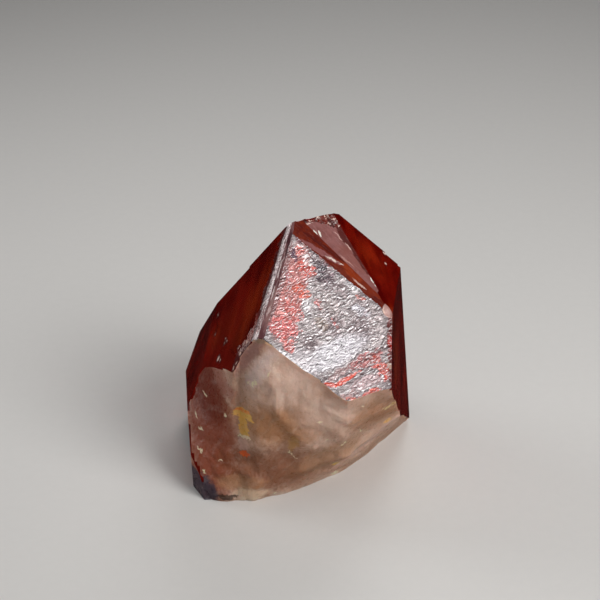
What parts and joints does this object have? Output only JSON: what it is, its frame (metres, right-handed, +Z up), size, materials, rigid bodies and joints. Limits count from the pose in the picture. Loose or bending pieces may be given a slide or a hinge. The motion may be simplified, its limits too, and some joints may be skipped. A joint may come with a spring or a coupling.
{
  "type": "quartz crystal specimen",
  "caption": "Red-tinted quartz crystal with a faceted point, an etched front face and a milky broken lower front, standing on a flat foot.",
  "frame": {"origin": "On the floor under the middle of the bounding box.", "axes": "+Z is up and is the longest extent. -Y is the front, the side with the etched face and the milky break. +X is to the right when the crystal is seen from the front."},
  "size_m": [0.0384, 0.0386, 0.0445],
  "materials": {
    "quartz": "gloss"
  },
  "bodies": {
    "root": {"quartz_crystal": "quartz"}
  },
  "joints": []
}
